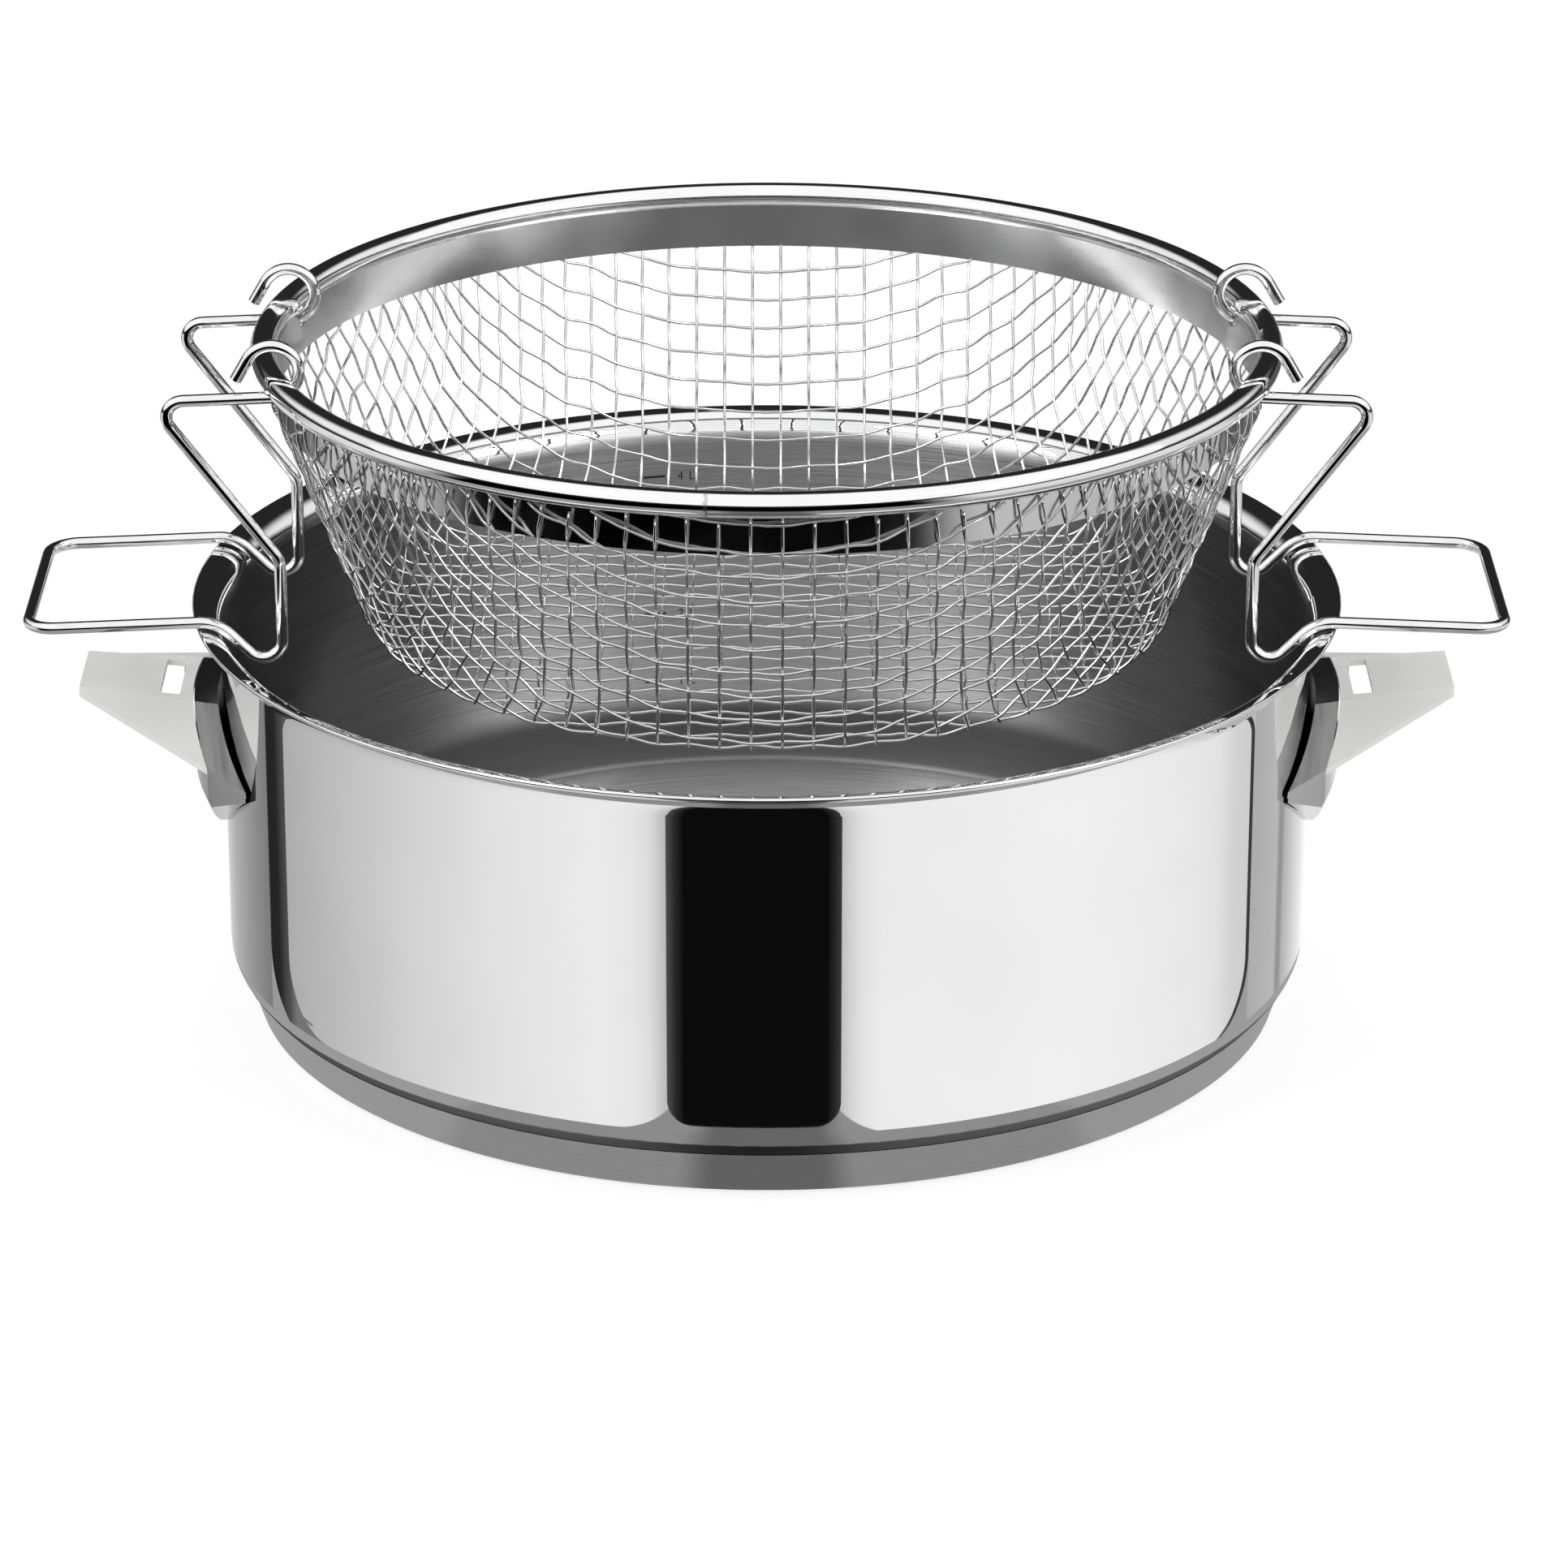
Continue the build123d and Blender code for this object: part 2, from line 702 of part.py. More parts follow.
export_step(right_wire_handle.part, "parts/right_wire_handle.step")
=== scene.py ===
import bpy
import math
import numpy as np
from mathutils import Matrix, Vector


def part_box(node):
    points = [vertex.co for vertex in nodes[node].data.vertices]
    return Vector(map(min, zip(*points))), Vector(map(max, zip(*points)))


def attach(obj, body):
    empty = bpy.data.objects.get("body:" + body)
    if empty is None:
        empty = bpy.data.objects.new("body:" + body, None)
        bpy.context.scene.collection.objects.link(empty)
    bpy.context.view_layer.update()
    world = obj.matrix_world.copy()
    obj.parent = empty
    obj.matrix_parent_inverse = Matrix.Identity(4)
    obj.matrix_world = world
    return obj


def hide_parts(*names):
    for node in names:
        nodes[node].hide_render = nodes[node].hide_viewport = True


# Looks of the saute pan and its frying basket, in metres, in the CAD frame.

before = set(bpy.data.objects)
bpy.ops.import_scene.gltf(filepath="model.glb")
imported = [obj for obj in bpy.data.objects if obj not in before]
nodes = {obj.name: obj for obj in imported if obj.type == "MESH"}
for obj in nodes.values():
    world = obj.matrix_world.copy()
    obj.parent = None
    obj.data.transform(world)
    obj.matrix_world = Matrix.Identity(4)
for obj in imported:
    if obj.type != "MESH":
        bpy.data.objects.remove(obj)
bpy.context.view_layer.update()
MM = 0.001

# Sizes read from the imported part
net_low, net_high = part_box("basket_net")
band_low, band_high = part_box("rim_band")
ring_low, ring_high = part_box("rim_ring")
pan_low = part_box("pan_body")[0]
ring_tube = (ring_high.z - ring_low.z) / 2
ring_path = ring_high.x - ring_tube
ring_height = (ring_high.z + ring_low.z) / 2

# Bowl sizes that the solids' boxes don't give
pan_inner_radius = 129.8 * MM
pan_sheet = 1.2 * MM
pan_outer_radius = pan_inner_radius + pan_sheet
floor_top = pan_low.z + pan_sheet


# Camera, fitted to the ellipses of the lip, the basket's ring and the base
PHOTO_SIZE = 1932
CAMERA_DISTANCE = 1.500
CAMERA_HEIGHT = 0.6486
CAMERA_PITCH = 0.3791
FOCAL_PIXELS = 8174
CENTRE_PIXEL_X = 944.7
SENSOR = 36.0


def make_camera():
    data = bpy.data.cameras.new("camera")
    data.sensor_width = SENSOR
    data.lens = FOCAL_PIXELS / PHOTO_SIZE * SENSOR
    data.shift_x = (PHOTO_SIZE / 2 - CENTRE_PIXEL_X) / PHOTO_SIZE
    camera = bpy.data.objects.new("camera", data)
    camera.location = (0, -CAMERA_DISTANCE, CAMERA_HEIGHT)
    camera.rotation_euler = (math.pi / 2 - CAMERA_PITCH, 0, 0)
    bpy.context.scene.collection.objects.link(camera)
    bpy.context.scene.camera = camera
    bpy.context.scene.view_settings.view_transform = "Standard"


# Small helpers for node materials

# Spread of a noise texture that colours and gloss follow
NOISE_LOW = 0.3
NOISE_HIGH = 0.7


class Graph:
    """A material's or world's node tree, with short calls to add and link nodes."""

    def __init__(self, tree):
        self.tree = tree
        self.tree.nodes.clear()

    def node(self, kind, inputs=None, **settings):
        made = self.tree.nodes.new(kind)
        for name, value in settings.items():
            setattr(made, name, value)
        for name, value in (inputs or {}).items():
            socket = made.inputs[name]
            if isinstance(value, bpy.types.NodeSocket):
                self.tree.links.new(value, socket)
            else:
                socket.default_value = value
        return made

    def math(self, operation, a, b=0.0, clamp=False):
        made = self.node("ShaderNodeMath", operation=operation, use_clamp=clamp)
        for index, value in enumerate((a, b)):
            if isinstance(value, bpy.types.NodeSocket):
                self.tree.links.new(value, made.inputs[index])
            else:
                made.inputs[index].default_value = value
        return made.outputs[0]

    def band(self, value, low, high, start=0.0, end=1.0):
        """Maps a value from low..high to start..end, smoothly and clamped."""
        made = self.node(
            "ShaderNodeMapRange",
            {"Value": value, "From Min": low, "From Max": high, "To Min": start, "To Max": end},
            interpolation_type="SMOOTHSTEP",
        )
        return made.outputs["Result"]

    def ramp(self, value, stops):
        made = self.node("ShaderNodeValToRGB", {"Fac": value})
        ramp = made.color_ramp
        while len(ramp.elements) < len(stops):
            ramp.elements.new(0.5)
        for element, (place, colour) in zip(ramp.elements, stops):
            element.position = place
            element.color = (*colour, 1)
        return made.outputs["Color"]

    def mix(self, share, a, b):
        """Mixes two colours."""
        made = self.node("ShaderNodeMix", data_type="RGBA")
        for name, value in (("Factor", share), ("A", a), ("B", b)):
            socket = [s for s in made.inputs if s.name == name and s.enabled][0]
            if isinstance(value, bpy.types.NodeSocket):
                self.tree.links.new(value, socket)
            else:
                socket.default_value = value
        return [s for s in made.outputs if s.enabled][0]

    def glow(self, kind, strength):
        """A white background or emission of this strength."""
        return self.node(kind, {"Color": (1, 1, 1, 1), "Strength": strength}).outputs[0]

    def blend(self, share, a, b):
        """Mixes two shaders."""
        return self.node("ShaderNodeMixShader", {0: share, 1: a, 2: b}).outputs[0]

    def noise(self, vector, scale, detail=3.0, roughness=0.5):
        made = self.node(
            "ShaderNodeTexNoise",
            {"Vector": vector, "Scale": scale, "Detail": detail, "Roughness": roughness},
        )
        return made.outputs["Fac"]

    def cloudy(self, noise, dark, light):
        """A colour between two that follows a noise."""
        return self.ramp(noise, [(NOISE_LOW, dark), (NOISE_HIGH, light)])

    def varied(self, noise, low, high):
        """A value between two that follows a noise."""
        return self.band(noise, NOISE_LOW, NOISE_HIGH, low, high)

    def bump(self, height, strength, distance):
        inputs = {"Height": height, "Strength": strength, "Distance": distance}
        return self.node("ShaderNodeBump", inputs).outputs["Normal"]

    def combine(self, x, y, z):
        made = self.node("ShaderNodeCombineXYZ")
        for index, value in enumerate((x, y, z)):
            if isinstance(value, bpy.types.NodeSocket):
                self.tree.links.new(value, made.inputs[index])
            else:
                made.inputs[index].default_value = value
        return made.outputs[0]


def grey(level):
    return (level,) * 3


def new_material(name):
    material = bpy.data.materials.new(name)
    material.use_nodes = True
    graph = Graph(material.node_tree)
    return material, graph


def finish_material(graph, inputs):
    shader = graph.node("ShaderNodeBsdfPrincipled", inputs)
    graph.node("ShaderNodeOutputMaterial", {"Surface": shader.outputs[0]})
    return shader


def place(graph):
    """Object coordinates, their parts and the distance from the pan's axis."""
    coordinates = graph.node("ShaderNodeTexCoord").outputs["Object"]
    parts = graph.node("ShaderNodeSeparateXYZ", {"Vector": coordinates}).outputs
    x, y, z = parts[0], parts[1], parts[2]
    square = graph.math("ADD", graph.math("MULTIPLY", x, x), graph.math("MULTIPLY", y, y))
    radius = graph.math("SQRT", square)
    return coordinates, x, y, z, radius


def turned_lines(graph, x, y, z, radius, across, around):
    """Fine lines that run round the pan's axis: dense across, slow around."""
    east = graph.math("DIVIDE", x, radius)
    north = graph.math("DIVIDE", y, radius)
    climb = graph.math("MULTIPLY", graph.math("ADD", radius, z), across)
    east = graph.math("MULTIPLY", east, around)
    north = graph.math("MULTIPLY", north, around)
    return graph.noise(graph.combine(climb, east, north), 1.0, detail=4.0, roughness=0.6)


# Turned lines: noise cycles per metre across the lines, and around the axis
FINE_LINES = (9000, 5)
BROAD_LINES = (2600, 2)
LATHE_LINES = (3500, 2)
HAIR_LINES = (9000, 20)

# Noise scales of the plain materials, in cycles per metre
SMUDGES = 22
DIE_MARKS = 160
SPECKS = 1500
MOULD_FLOW = 30
MOULD_SKIN = 2600
ETCHING = 2200
HAIRS_PER_CLOUD = 30

# Heights that a bump of full strength stands for
GRAIN_DEPTH = 0.05 * MM
SKIN_DEPTH = 0.04 * MM
SPECK_DEPTH = 0.03 * MM

# Where the satin begins: inside the middle of the sheet, and above the base
SATIN_RADII = (pan_inner_radius + pan_sheet / 2, pan_inner_radius + pan_sheet / 2 - 0.2 * MM)
SATIN_HEIGHTS = (floor_top - 0.6 * MM, floor_top - 0.2 * MM)
FINE_SHARE = 0.6
BROAD_SHARE = 0.4

# Fold between the inner wall and the floor: painted shade darkens its colour, and it is rougher
FOLD_RADII = (pan_inner_radius - 12 * MM, pan_inner_radius - 7 * MM)
FOLD_HEIGHTS = (floor_top + 17 * MM, floor_top + 9 * MM)
FOLD_PAINTED_SHADE = (0.17, 0.17, 0.17, 1)
FOLD_ROUGHER = 0.45

# Heights over which the base's polished side gives way to its underside
UNDERSIDE = (0.3 * MM, 0.05 * MM)

# Satin inside, with painted highlight and painted shade: lighter to the front and back of the axis,
# darker to the sides
SATIN_PAINTED_HIGHLIGHT = [(0.30, grey(0.50)), (0.52, grey(0.62)), (0.72, grey(0.78))]
SATIN_PAINTED_SHADE = [(0.30, grey(0.12)), (0.52, grey(0.17)), (0.72, grey(0.30))]
PAINTED_FAN = (0.30, 0.95)


def pan_steel():
    """Mirror polish outside and on the lip, turned satin inside with a painted highlight fan and painted
    shade.
    """
    material, graph = new_material("pan_steel")
    coordinates, x, y, z, radius = place(graph)
    within = graph.band(radius, *SATIN_RADII)
    above_floor = graph.band(z, *SATIN_HEIGHTS)
    inside = graph.math("MULTIPLY", within, above_floor)
    fine = turned_lines(graph, x, y, z, radius, *FINE_LINES)
    broad = turned_lines(graph, x, y, z, radius, *BROAD_LINES)
    smudge = graph.noise(coordinates, SMUDGES, detail=2)
    fine_part = graph.math("MULTIPLY", fine, FINE_SHARE)
    broad_part = graph.math("MULTIPLY", broad, BROAD_SHARE)
    grain = graph.math("ADD", fine_part, broad_part)
    # Fold mask: painted shade darkens the fold's colour, and the fold is also rougher
    fold = graph.math("MULTIPLY", graph.band(radius, *FOLD_RADII), graph.band(z, *FOLD_HEIGHTS))
    # Painted highlight fan: satin lighter toward the front and back of the axis, painted shade darker to
    # the sides
    painted_highlight_satin = graph.ramp(grain, SATIN_PAINTED_HIGHLIGHT)
    painted_shade_satin = graph.ramp(grain, SATIN_PAINTED_SHADE)
    turned = graph.math("DIVIDE", graph.math("ABSOLUTE", x), radius)
    satin = graph.mix(graph.band(turned, *PAINTED_FAN), painted_highlight_satin, painted_shade_satin)
    # Painted shade over the satin in the fold
    satin_with_painted_light = graph.mix(fold, satin, FOLD_PAINTED_SHADE)
    polished = graph.cloudy(smudge, (0.84, 0.84, 0.845), grey(0.88))
    rougher = graph.math("MULTIPLY", fold, FOLD_ROUGHER)
    satin_rough = graph.math("ADD", graph.varied(grain, 0.24, 0.40), rougher)
    mirror_rough = graph.varied(smudge, 0.015, 0.03)
    rough = graph.node(
        "ShaderNodeMapRange",
        {"Value": inside, "To Min": mirror_rough, "To Max": satin_rough},
    ).outputs["Result"]
    height = graph.math("MULTIPLY", grain, inside)
    finish_material(
        graph,
        {
            "Base Color": graph.mix(inside, polished, satin_with_painted_light),
            "Metallic": 1.0,
            "Roughness": rough,
            "Anisotropic": 0.8,
            "Anisotropic Rotation": 0.25,
            "Tangent": graph.node("ShaderNodeTangent", direction_type="RADIAL", axis="Z").outputs[0],
            "Normal": graph.bump(height, 0.12, GRAIN_DEPTH),
        },
    )
    return material


def base_steel():
    """Polished side, and an underside turned on a lathe."""
    material, graph = new_material("base_steel")
    _, x, y, z, radius = place(graph)
    under = graph.band(z, *UNDERSIDE)
    rings = turned_lines(graph, x, y, z, radius, *LATHE_LINES)
    hair = turned_lines(graph, x, y, z, radius, *HAIR_LINES)
    side_colour = graph.cloudy(hair, grey(0.76), grey(0.84))
    under_colour = graph.cloudy(rings, grey(0.46), grey(0.66))
    rough = graph.node(
        "ShaderNodeMapRange",
        {"Value": under, "To Min": graph.varied(hair, 0.07, 0.12), "To Max": 0.34},
    ).outputs["Result"]
    finish_material(
        graph,
        {
            "Base Color": graph.mix(under, side_colour, under_colour),
            "Metallic": 1.0,
            "Roughness": rough,
            "Normal": graph.bump(rings, 0.15, GRAIN_DEPTH),
        },
    )
    return material


def bright_steel(name, dark, light, rough_low, rough_high, scale):
    """A plain polished or satin metal with faint cloudy variation."""
    material, graph = new_material(name)
    coordinates = graph.node("ShaderNodeTexCoord").outputs["Object"]
    cloud = graph.noise(coordinates, scale, detail=4)
    hair = graph.noise(coordinates, scale * HAIRS_PER_CLOUD, detail=2)
    finish_material(
        graph,
        {
            "Base Color": graph.cloudy(cloud, grey(dark), grey(light)),
            "Metallic": 1.0,
            "Roughness": graph.varied(cloud, rough_low, rough_high),
            "Normal": graph.bump(hair, 0.04, GRAIN_DEPTH),
        },
    )
    return material


def drawn_wire(name, dark, light, rough_low, rough_high):
    """Drawn steel wire: faint die marks and slight changes of gloss along it."""
    material, graph = new_material(name)
    coordinates = graph.node("ShaderNodeTexCoord").outputs["Object"]
    long_mark = graph.noise(coordinates, DIE_MARKS, detail=3)
    speck = graph.noise(coordinates, SPECKS, detail=2)
    finish_material(
        graph,
        {
            "Base Color": graph.cloudy(long_mark, grey(dark), grey(light)),
            "Metallic": 1.0,
            "Roughness": graph.varied(speck, rough_low, rough_high),
            "Normal": graph.bump(speck, 0.06, SPECK_DEPTH),
        },
    )
    return material


def white_plastic():
    """Satin white moulding with a very fine spark-eroded skin."""
    material, graph = new_material("grip_white")
    coordinates = graph.node("ShaderNodeTexCoord").outputs["Object"]
    skin = graph.noise(coordinates, MOULD_SKIN, detail=2)
    flow = graph.noise(coordinates, MOULD_FLOW, detail=2)
    finish_material(
        graph,
        {
            "Base Color": graph.cloudy(flow, (0.80, 0.80, 0.79), (0.84, 0.84, 0.83)),
            "Roughness": graph.varied(flow, 0.36, 0.44),
            "Subsurface Weight": 0.05,
            "Subsurface Scale": MM,
            "Normal": graph.bump(skin, 0.12, SKIN_DEPTH),
        },
    )
    return material


def etched_mark():
    """Dark etched marks, slightly uneven."""
    material, graph = new_material("etched_mark")
    coordinates = graph.node("ShaderNodeTexCoord").outputs["Object"]
    patch = graph.noise(coordinates, ETCHING, detail=3)
    colour = graph.ramp(patch, [(0.3, grey(0.012)), (0.75, grey(0.05))])
    finish_material(graph, {"Base Color": colour, "Metallic": 0.3, "Roughness": 0.55})
    return material


def new_object(name, vertices, faces, material, smooth=True):
    mesh = bpy.data.meshes.new(name)
    mesh.from_pydata([tuple(v) for v in vertices], [], faces)
    mesh.materials.append(material)
    if smooth:
        mesh.polygons.foreach_set("use_smooth", [True] * len(mesh.polygons))
    mesh.update()
    made = bpy.data.objects.new(name, mesh)
    bpy.context.scene.collection.objects.link(made)
    return made


# Woven cup of the basket: two families of crimped wires, draped by a fishnet
# walk over the cup so that the cells stay as long as on the flat cloth.
WIRE = 0.69 * MM
PITCH = 7.15 * MM
CRIMP = 0.46  # how far a wire's middle leaves the cloth's, in wire diameters
CUP_TAPER = 21.95 * MM
CUP_FOLD = 9.5 * MM
CUP_SPARE = 40 * MM  # straight wall above the cup, for the ends that are cut off
CUP_PLACES = (200, 60, 400, 300)  # places on the floor, fold, side and spare wall
STEPS = 4  # places along a wire from one crossing to the next
SIDES = 8  # sides of a wire's round
REACH = 26  # most crossings from the middle of the cloth to its edge
FEWEST = 4  # fewest crossings, or places, of a wire that is kept
CORRECTIONS = 60
TINY = 1e-9


def cup_profile():
    """Points (radius, height) along the middle of the cloth, and outward normals."""
    skin = (net_high.x - band_high.x) / 2
    top_radius = net_high.x - skin
    floor_z = net_low.z + skin
    depth = band_low.z - net_low.z
    fold = CUP_FOLD - skin
    lean = math.atan2(CUP_TAPER, depth)
    turn = math.pi / 2 - lean
    flat = top_radius - CUP_TAPER - CUP_FOLD * math.tan(turn / 2)
    on_floor, on_fold, on_side, on_spare = CUP_PLACES
    points, normals = [], []
    for share in np.linspace(0, 1, on_floor, endpoint=False):
        points.append((flat * share, floor_z))
        normals.append((0, -1))
    for angle in np.linspace(0, turn, on_fold, endpoint=False):
        points.append((flat + fold * math.sin(angle), floor_z + fold * (1 - math.cos(angle))))
        normals.append((math.sin(angle), -math.cos(angle)))
    start = (flat + fold * math.sin(turn), floor_z + fold * (1 - math.cos(turn)))
    slant = (top_radius - start[0]) / math.sin(lean)
    for share in np.linspace(0, 1, on_side, endpoint=False):
        out, up = slant * share * math.sin(lean), slant * share * math.cos(lean)
        points.append((start[0] + out, start[1] + up))
        normals.append((math.cos(lean), -math.sin(lean)))
    top = start[1] + slant * math.cos(lean)
    for share in np.linspace(0, 1, on_spare):
        points.append((top_radius, top + CUP_SPARE * share))
        normals.append((1, 0))
    return np.array(points), np.array(normals)


profile, profile_normals = cup_profile()


def onto_cup(points):
    """The nearest places on the cup, with the outward normals there."""
    points = np.atleast_2d(points)
    radius = np.hypot(points[:, 0], points[:, 1])
    across = radius[:, None] - profile[None, :, 0]
    up = points[:, 2][:, None] - profile[None, :, 1]
    nearest = (across**2 + up**2).argmin(axis=1)
    east = points[:, 0] / np.maximum(radius, TINY)
    north = points[:, 1] / np.maximum(radius, TINY)
    r, z = profile[nearest].T
    nr, nz = profile_normals[nearest].T
    return np.c_[r * east, r * north, z], np.c_[nr * east, nr * north, nz]


def settle(guess, near, far):
    """The place on the cup one pitch from both neighbours, by repeated correction."""
    for _ in range(CORRECTIONS):
        for other in (near, far):
            away = guess - other
            guess = other + away * (PITCH / np.linalg.norm(away))
        guess = onto_cup(guess)[0][0]
    return guess


def walk_first_wire():
    """Crossings along the wire half a pitch from the middle."""
    crossings = [onto_cup(np.array([PITCH / 2, PITCH / 2, net_low.z]))[0][0]]
    direction = np.array([0.0, PITCH, 0.0])
    for _ in range(REACH):
        last = crossings[-1]
        guess = last + direction
        for _ in range(CORRECTIONS):
            guess[0] = PITCH / 2
            away = guess - last
            guess = last + away * (PITCH / np.linalg.norm(away))
            guess = onto_cup(guess)[0][0]
        direction = guess - last
        crossings.append(guess)
    return crossings


def drape():
    """Crossings of one quarter of the cloth, by column and row."""
    first = walk_first_wire()
    net = {}
    for index, crossing in enumerate(first):
        net[0, index] = crossing
        net[index, 0] = crossing[[1, 0, 2]]
    limit = net_high.z + 2 * PITCH
    for total in range(2, 2 * REACH):
        for column in range(1, total):
            row = total - column
            known = [(column - 1, row), (column, row - 1), (column - 1, row - 1)]
            if any(key not in net for key in known):
                continue
            near, far, back = (net[key] for key in known)
            if min(near[2], far[2]) > limit:
                continue
            net[column, row] = settle(near + far - back, near, far)
    return net


def wire_routes(net):
    """Every wire as a list of (crossing, over or under), both families."""
    whole = {}
    for (column, row), (x, y, z) in net.items():
        for east in (1, -1):
            for north in (1, -1):
                i = column if east > 0 else -1 - column
                j = row if north > 0 else -1 - row
                whole[i, j] = np.array([x * east, y * north, z])
    families = []
    for family in (0, 1):
        routes = []
        for line in range(-REACH - 1, REACH + 1):
            run = []
            for step in range(-REACH - 1, REACH + 1):
                key = (step, line) if family == 0 else (line, step)
                if key in whole:
                    side = 1 if (sum(key) + family) % 2 else -1
                    run.append((whole[key], side))
            if len(run) >= FEWEST:
                routes.append(run)
        families.append(routes)
    return families


def wire_path(run):
    """Smooth crimped centre line of one wire, cut off under the basket's ring."""
    crossings = np.array([crossing for crossing, _ in run])
    sides = [side for _, side in run]
    before = 2 * crossings[0] - crossings[1]
    after = 2 * crossings[-1] - crossings[-2]
    padded = np.vstack([before, crossings, after])
    points, lifts = [], []
    for k in range(len(crossings) - 1):
        a, b, c, d = padded[k : k + 4]
        for step in range(STEPS):
            t = step / STEPS
            bend = (2 * a - 5 * b + 4 * c - d) * t**2
            twist = (3 * b - a - 3 * c + d) * t**3
            points.append(0.5 * (2 * b + (c - a) * t + bend + twist))
            lifts.append(sides[k] * math.cos(math.pi * t))
    points.append(crossings[-1])
    lifts.append(sides[-1])
    seated, normals = onto_cup(np.array(points))
    path = seated + normals * (np.array(lifts)[:, None] * WIRE * CRIMP)
    keep = np.flatnonzero(path[:, 2] < net_high.z)
    if len(keep) < FEWEST:
        return None
    span = slice(keep[0], keep[-1] + 1)
    return path[span], normals[span]


def tube(path, normals, radius, vertices, faces):
    """Adds a closed tube along a path to a list of vertices and faces."""
    along = np.gradient(path, axis=0)
    along /= np.linalg.norm(along, axis=1)[:, None]
    side = np.cross(along, normals)
    side /= np.linalg.norm(side, axis=1)[:, None]
    up = np.cross(side, along)
    start = len(vertices)
    for k in range(len(path)):
        for turn in range(SIDES):
            angle = 2 * math.pi * turn / SIDES
            vertices.append(path[k] + radius * (math.cos(angle) * side[k] + math.sin(angle) * up[k]))
    for k in range(len(path) - 1):
        for turn in range(SIDES):
            a = start + k * SIDES + turn
            b = start + k * SIDES + (turn + 1) % SIDES
            faces.append((a, b, b + SIDES, a + SIDES))
    faces.append(tuple(start + turn for turn in reversed(range(SIDES))))
    end = start + (len(path) - 1) * SIDES
    faces.append(tuple(end + turn for turn in range(SIDES)))


def make_cloth(material):
    for name, routes in zip(("basket_wires_across", "basket_wires_along"), wire_routes(drape())):
        vertices, faces = [], []
        for run in routes:
            laid = wire_path(run)
            if laid is not None:
                tube(*laid, WIRE / 2, vertices, faces)
        cloth = new_object(name, vertices, faces, material)
        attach(cloth, "basket")
    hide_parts("basket_net")


# Volume marks on the inner wall, at the true height of each litre
MARK_STEP = 18.9 * MM
MARK_DEPTH = 0.05 * MM
DASH_FROM = -14.2  # degrees round the wall, from its back
DASH_TO = -11.7
DASH_COLUMNS = 12
TEXT_FROM = -10.3
MARK_STROKE = 0.55 * MM
TEXT_HEIGHT = 2.4 * MM
FONT_SIZE = TEXT_HEIGHT * 1.35


def wrap(points, azimuth):
    """Bends flat points (x across, y up, z out) onto the inner wall at the back."""
    wrapped = []
    for x, y, z in points:
        angle = math.radians(azimuth) + x / pan_inner_radius
        radius = pan_inner_radius - z
        wrapped.append((radius * math.sin(angle), radius * math.cos(angle), y))
    return wrapped


def make_marks(material):
    for litre in range(1, 5):
        height = floor_top + MARK_STEP * litre
        dash_length = math.radians(DASH_TO - DASH_FROM) * pan_inner_radius
        flat = []
        for k in range(DASH_COLUMNS + 1):
            x = dash_length * k / DASH_COLUMNS
            for z in (-MARK_DEPTH, MARK_DEPTH):
                flat.append((x, height - MARK_STROKE / 2, z))
                flat.append((x, height + MARK_STROKE / 2, z))
        faces = []
        for k in range(DASH_COLUMNS):
            a = 4 * k
            for p, q in ((0, 1), (1, 3), (3, 2), (2, 0)):
                faces.append((a + p, a + q, a + q + 4, a + p + 4))
        name = f"litre_line_{litre}"
        dash = new_object(name, wrap(flat, DASH_FROM), faces, material, smooth=False)
        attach(dash, "pan")
        curve = bpy.data.curves.new(f"litre_text_{litre}", "FONT")
        curve.body = f"{litre} L"
        curve.size = FONT_SIZE
        curve.extrude = MARK_DEPTH
        curve.space_character = 1.15
        source = bpy.data.objects.new("litre_source", curve)
        bpy.context.scene.collection.objects.link(source)
        bpy.context.view_layer.update()
        flat_mesh = bpy.data.meshes.new_from_object(source)
        bpy.data.objects.remove(source)
        points = [(v.co.x, v.co.y + height - TEXT_HEIGHT / 2, v.co.z) for v in flat_mesh.vertices]
        polygons = [tuple(p.vertices) for p in flat_mesh.polygons]
        name = f"litre_mark_{litre}"
        text = new_object(name, wrap(points, TEXT_FROM), polygons, material, smooth=False)
        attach(text, "pan")


# Butt seam where the ends of the basket's ring meet, near the front
SEAM_AZIMUTH = -6.4
SEAM_WIDTH = 0.5 * MM
SEAM_SIDES = 40
SEAM_RINGS = ((-1.0, 0.0), (-0.35, 0.05), (0.35, 0.05), (1.0, 0.0))  # place, height in mm
SEAM_SINK = 0.02 * MM


def make_seam(material):
    vertices, faces = [], []
    for along, lift in SEAM_RINGS:
        angle = math.radians(SEAM_AZIMUTH) + along * SEAM_WIDTH / ring_path
        radius = ring_tube - SEAM_SINK + lift * MM
        for k in range(SEAM_SIDES):
            turn = 2 * math.pi * k / SEAM_SIDES
            out = ring_path + radius * math.cos(turn)
            up = ring_height + radius * math.sin(turn)
            vertices.append((out * math.sin(angle), -out * math.cos(angle), up))
    for ring in range(len(SEAM_RINGS) - 1):
        for k in range(SEAM_SIDES):
            a = ring * SEAM_SIDES + k
            b = ring * SEAM_SIDES + (k + 1) % SEAM_SIDES
            faces.append((a, b, b + SEAM_SIDES, a + SEAM_SIDES))
    seam = new_object("ring_seam", vertices, faces, material)
    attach(seam, "basket")


# Studio: pale floor, soft lamps, and cards that only reflections see
# World, as reflections see it: where its white begins and ends
OVER_FRONT = (0.09, 0.21)  # radians above the front horizon
OVER_REAR = (2.18, 1.90)
OVER_HORIZON = (0.02, 0.20)  # sine of the height above the horizon
BESIDE = (0.40, 0.75)  # share of a direction that goes left or right
BESIDE_HORIZON = (0.05, 0.30, 0.0, 0.75)
WORLD_TONES = (0.02, 1.08)
SOFT_LEVEL = 0.36

